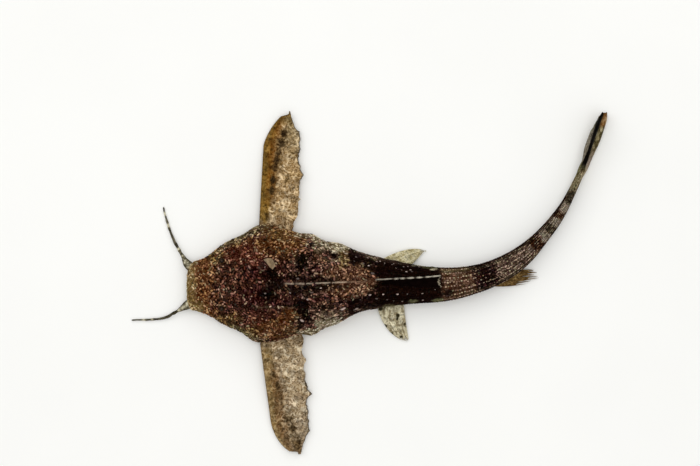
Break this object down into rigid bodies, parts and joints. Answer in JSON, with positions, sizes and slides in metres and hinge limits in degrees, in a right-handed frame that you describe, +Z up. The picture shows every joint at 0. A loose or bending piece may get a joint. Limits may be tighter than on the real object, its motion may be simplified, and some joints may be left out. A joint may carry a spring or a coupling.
{
  "type": "dried banjo catfish",
  "caption": "Whole small dried catfish lying on its belly, with broad flat head, spread fins, thin barbels and a bent tail.",
  "frame": {"origin": "on the surface the fish lies on, in the flat of the belly between the pectoral fins", "axes": "-X towards the snout, +Y towards the fish's right side, which the tail bends round to, +Z up"},
  "size_m": [0.1033, 0.0746, 0.013],
  "materials": {
    "skin": "dark brown scaleless skin, densely covered with fine pale grains, semi-matt"
  },
  "bodies": {
    "root": {"banjo_catfish": "skin"}
  },
  "joints": []
}
